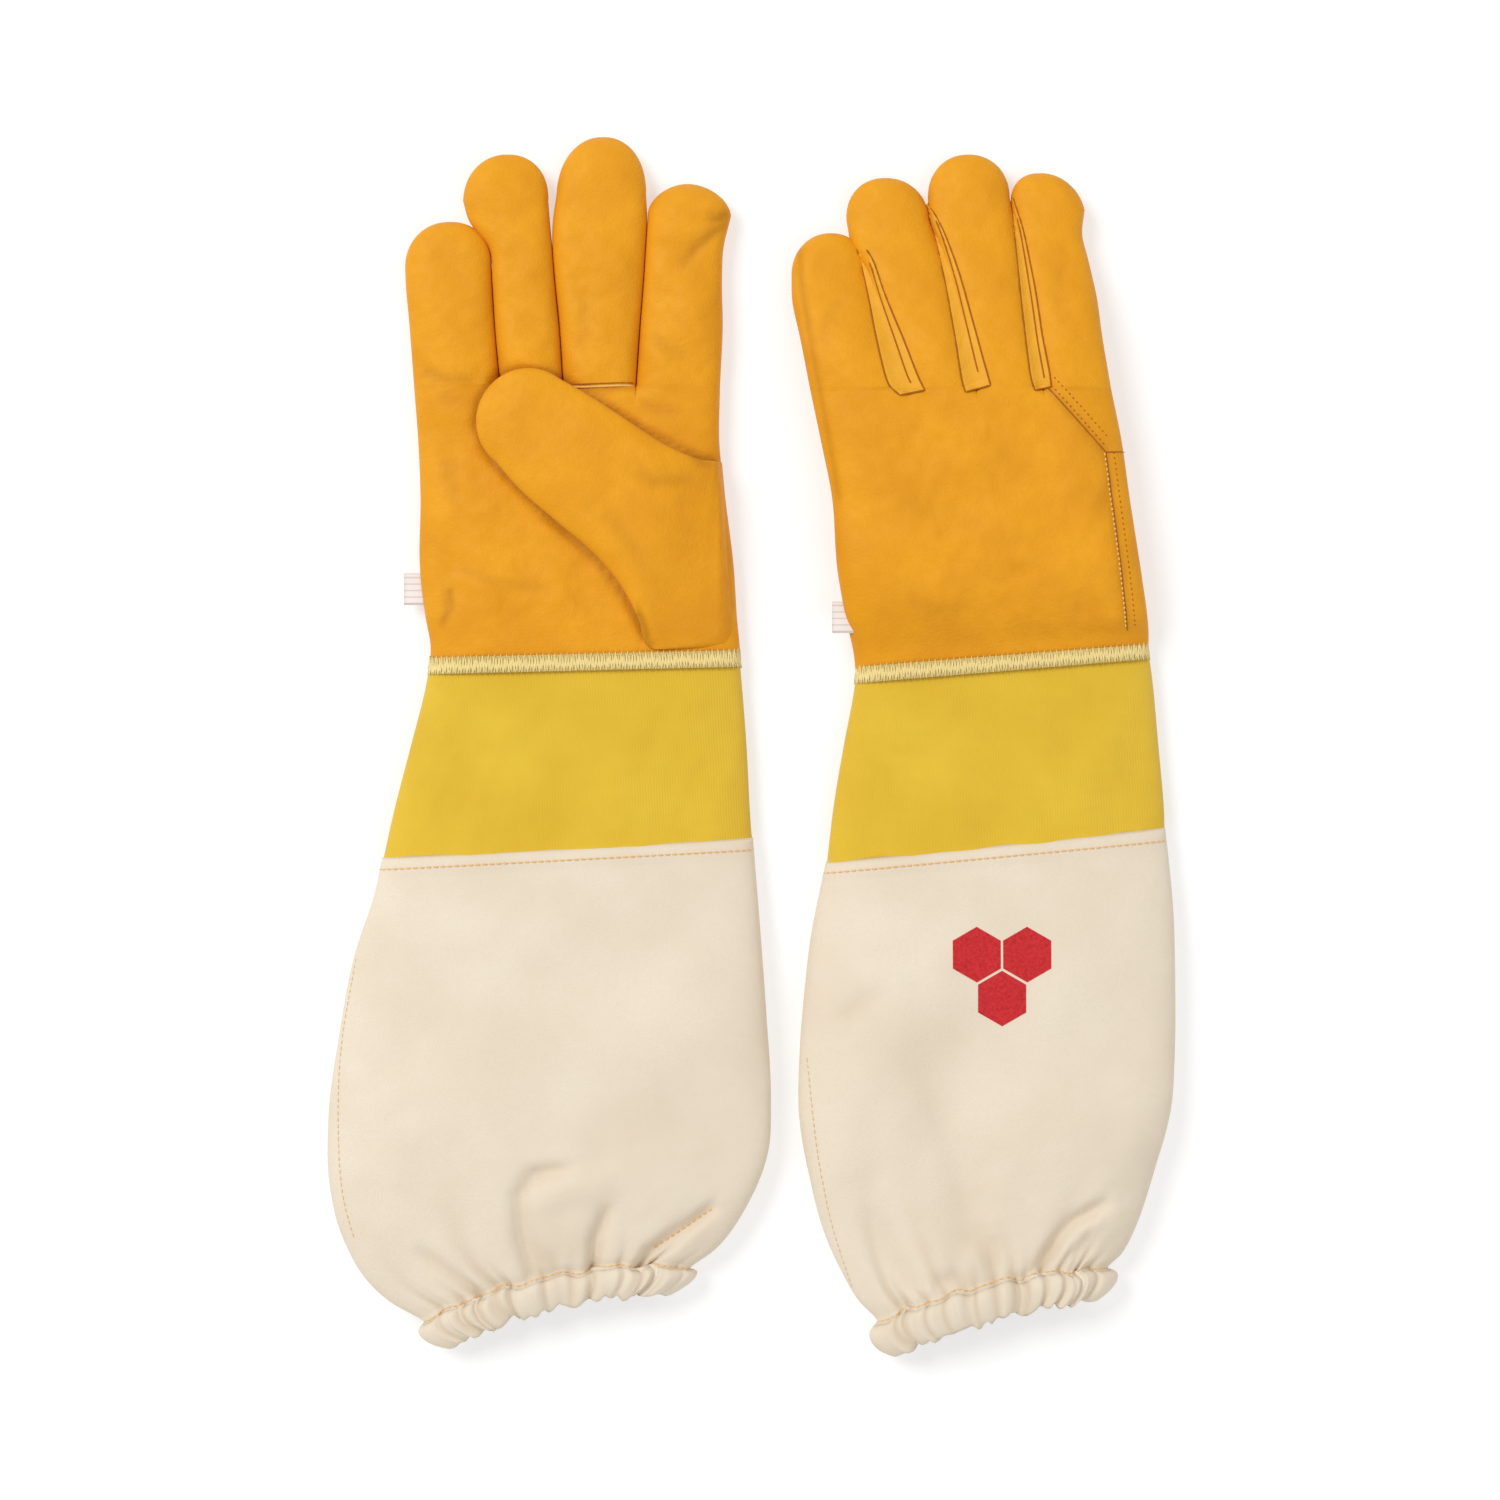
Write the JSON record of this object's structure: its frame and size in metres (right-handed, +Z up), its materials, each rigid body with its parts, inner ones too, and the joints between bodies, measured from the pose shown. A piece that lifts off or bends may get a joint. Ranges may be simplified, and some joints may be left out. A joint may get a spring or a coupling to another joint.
{
  "type": "beekeeping gloves",
  "caption": "Pair of long beekeeping gloves: leather hands sewn to cotton wrist bands and wide canvas sleeves gathered by elastic at the hem.",
  "frame": {"origin": "middle of the pair's footprint on the table, with both gloves lying flat", "axes": "+Z up from the table, +Y along both gloves towards the fingertips, +X from the right-hand glove (palm up) to the left-hand glove (palm down)"},
  "size_m": [0.3388, 0.4896, 0.0283],
  "materials": {
    "leather": "matte",
    "pale_leather": "matte",
    "yellow_cotton": "matte",
    "cream_canvas": "matte",
    "cream_thread": "matte",
    "white_elastic": "matte",
    "white_satin": "satin"
  },
  "bodies": {
    "right_sleeve": {"right_wrist_band": "yellow_cotton", "right_sleeve_top": "cream_canvas", "right_sleeve_bottom": "cream_canvas", "right_hem_casing": "cream_canvas", "right_hem_elastic": "white_elastic"},
    "right_hand": {"right_palm_panel": "leather", "right_back_panel": "leather", "right_side_strip": "pale_leather", "right_overlock_seam": "cream_thread", "right_size_label": "white_satin"},
    "right_little_finger": {"right_little_finger_front": "leather", "right_little_finger_back": "leather", "right_little_ring_fourchette": "pale_leather"},
    "right_ring_finger": {"right_ring_finger_front": "leather", "right_ring_finger_back": "leather", "right_ring_middle_fourchette": "pale_leather"},
    "right_middle_finger": {"right_middle_finger_front": "leather", "right_middle_finger_back": "leather", "right_middle_index_fourchette": "pale_leather"},
    "right_index_finger": {"right_index_finger_front": "leather", "right_index_finger_back": "leather"},
    "right_thumb": {"right_thumb_outer": "leather", "right_thumb_inner": "leather"},
    "left_sleeve": {"left_wrist_band": "yellow_cotton", "left_sleeve_top": "cream_canvas", "left_sleeve_bottom": "cream_canvas", "left_hem_casing": "cream_canvas", "left_hem_elastic": "white_elastic"},
    "left_hand": {"left_palm_panel": "leather", "left_back_panel": "leather", "left_side_strip": "pale_leather", "left_overlock_seam": "cream_thread", "left_size_label": "white_satin"},
    "left_little_finger": {"left_little_finger_front": "leather", "left_little_finger_back": "leather", "left_little_ring_fourchette": "pale_leather"},
    "left_ring_finger": {"left_ring_finger_front": "leather", "left_ring_finger_back": "leather", "left_ring_middle_fourchette": "pale_leather"},
    "left_middle_finger": {"left_middle_finger_front": "leather", "left_middle_finger_back": "leather", "left_middle_index_fourchette": "pale_leather"},
    "left_index_finger": {"left_index_finger_front": "leather", "left_index_finger_back": "leather"},
    "left_thumb": {"left_thumb_outer": "leather", "left_thumb_inner": "leather"}
  },
  "joints": [
    {"name": "left_glove_lift", "type": "slide", "parent": "right_sleeve", "child": "left_sleeve", "axis": [0, 0, 1], "range_m": [0, 0.2]},
    {"name": "right_wrist_bend", "type": "hinge", "parent": "right_sleeve", "child": "right_hand", "pos_m": [-0.067, 0.0312, 0.0151], "axis": [0.9998, 0.0219, 0], "range_deg": [0, 80]},
    {"name": "right_little_bend", "type": "hinge", "parent": "right_hand", "child": "right_little_finger", "pos_m": [-0.118, 0.152, 0.0171], "axis": [1, 0, 0], "range_deg": [0, 80]},
    {"name": "right_ring_bend", "type": "hinge", "parent": "right_hand", "child": "right_ring_finger", "pos_m": [-0.0874, 0.152, 0.0171], "axis": [1, 0, 0], "range_deg": [0, 80]},
    {"name": "right_middle_bend", "type": "hinge", "parent": "right_hand", "child": "right_middle_finger", "pos_m": [-0.06, 0.152, 0.0171], "axis": [1, 0, 0], "range_deg": [0, 80]},
    {"name": "right_index_bend", "type": "hinge", "parent": "right_hand", "child": "right_index_finger", "pos_m": [-0.0279, 0.152, 0.0171], "axis": [1, 0, 0], "range_deg": [0, 80]},
    {"name": "right_thumb_spread", "type": "hinge", "parent": "right_hand", "child": "right_thumb", "pos_m": [-0.009, 0.08, 0.01715], "axis": [0, 1, 0], "range_deg": [0, 90]},
    {"name": "left_wrist_bend", "type": "hinge", "parent": "left_sleeve", "child": "left_hand", "pos_m": [0.1011, 0.0308, -0.0001], "axis": [-0.9964, -0.0845, 0], "range_deg": [0, 80]},
    {"name": "left_little_bend", "type": "hinge", "parent": "left_hand", "child": "left_little_finger", "pos_m": [0.0415, 0.152, 0.0112], "axis": [-1, 0, 0], "range_deg": [0, 80]},
    {"name": "left_ring_bend", "type": "hinge", "parent": "left_hand", "child": "left_ring_finger", "pos_m": [0.076, 0.152, 0.0112], "axis": [-1, 0, 0], "range_deg": [0, 80]},
    {"name": "left_middle_bend", "type": "hinge", "parent": "left_hand", "child": "left_middle_finger", "pos_m": [0.1024, 0.152, 0.0112], "axis": [-1, 0, 0], "range_deg": [0, 80]},
    {"name": "left_index_bend", "type": "hinge", "parent": "left_hand", "child": "left_index_finger", "pos_m": [0.1296, 0.152, 0.0112], "axis": [-1, 0, 0], "range_deg": [0, 80]},
    {"name": "left_thumb_spread", "type": "hinge", "parent": "left_hand", "child": "left_thumb", "pos_m": [0.15, 0.09, 0.01115], "axis": [0, -1, 0], "range_deg": [0, 90]}
  ]
}
